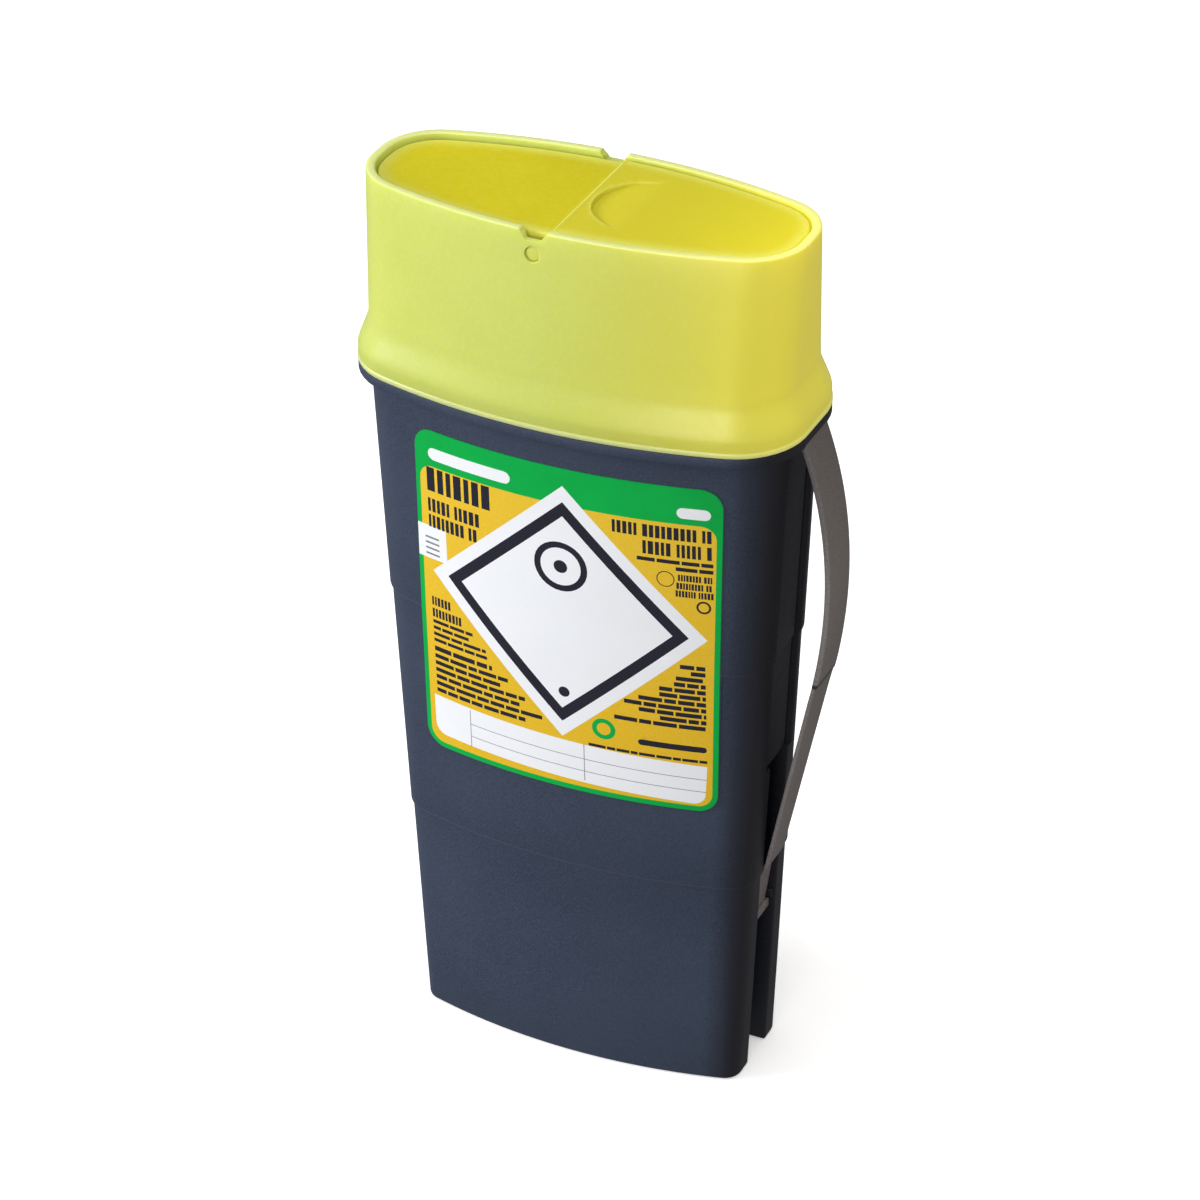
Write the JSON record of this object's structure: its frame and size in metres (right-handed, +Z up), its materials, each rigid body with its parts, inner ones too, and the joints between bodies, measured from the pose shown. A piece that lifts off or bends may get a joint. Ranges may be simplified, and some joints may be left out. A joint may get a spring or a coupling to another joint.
{
  "type": "sharps container",
  "caption": "Tall tapered sharps container with a push-on lid collar, a rocking flap in its mouth, a bowed carrying strap at one end and a curved front label.",
  "frame": {"origin": "centre of the base's underside, on the surface it stands on", "axes": "+X along the long side towards the carrying strap, -Y towards the labelled front, +Z up"},
  "size_m": [0.116, 0.0562, 0.225],
  "materials": {
    "base_plastic": "fine-grained dark slate polypropylene",
    "lid_plastic": "satin translucent lime polypropylene",
    "flap_plastic": "satin translucent yellow polypropylene",
    "strap_plastic": "satin dark brown-grey polypropylene",
    "label_film": "printed satin film, green frame round an amber field"
  },
  "bodies": {
    "container": {"base": "base_plastic", "lid_collar": "lid_plastic", "carry_strap": "strap_plastic", "front_label": "label_film"},
    "flap": {"rocker_flap": "flap_plastic"}
  },
  "joints": [
    {"name": "flap_rock", "type": "hinge", "parent": "container", "child": "flap", "pos_m": [-0.0038, 0, 0.2196], "axis": [0, 1, 0], "range_deg": [0, 60]}
  ]
}
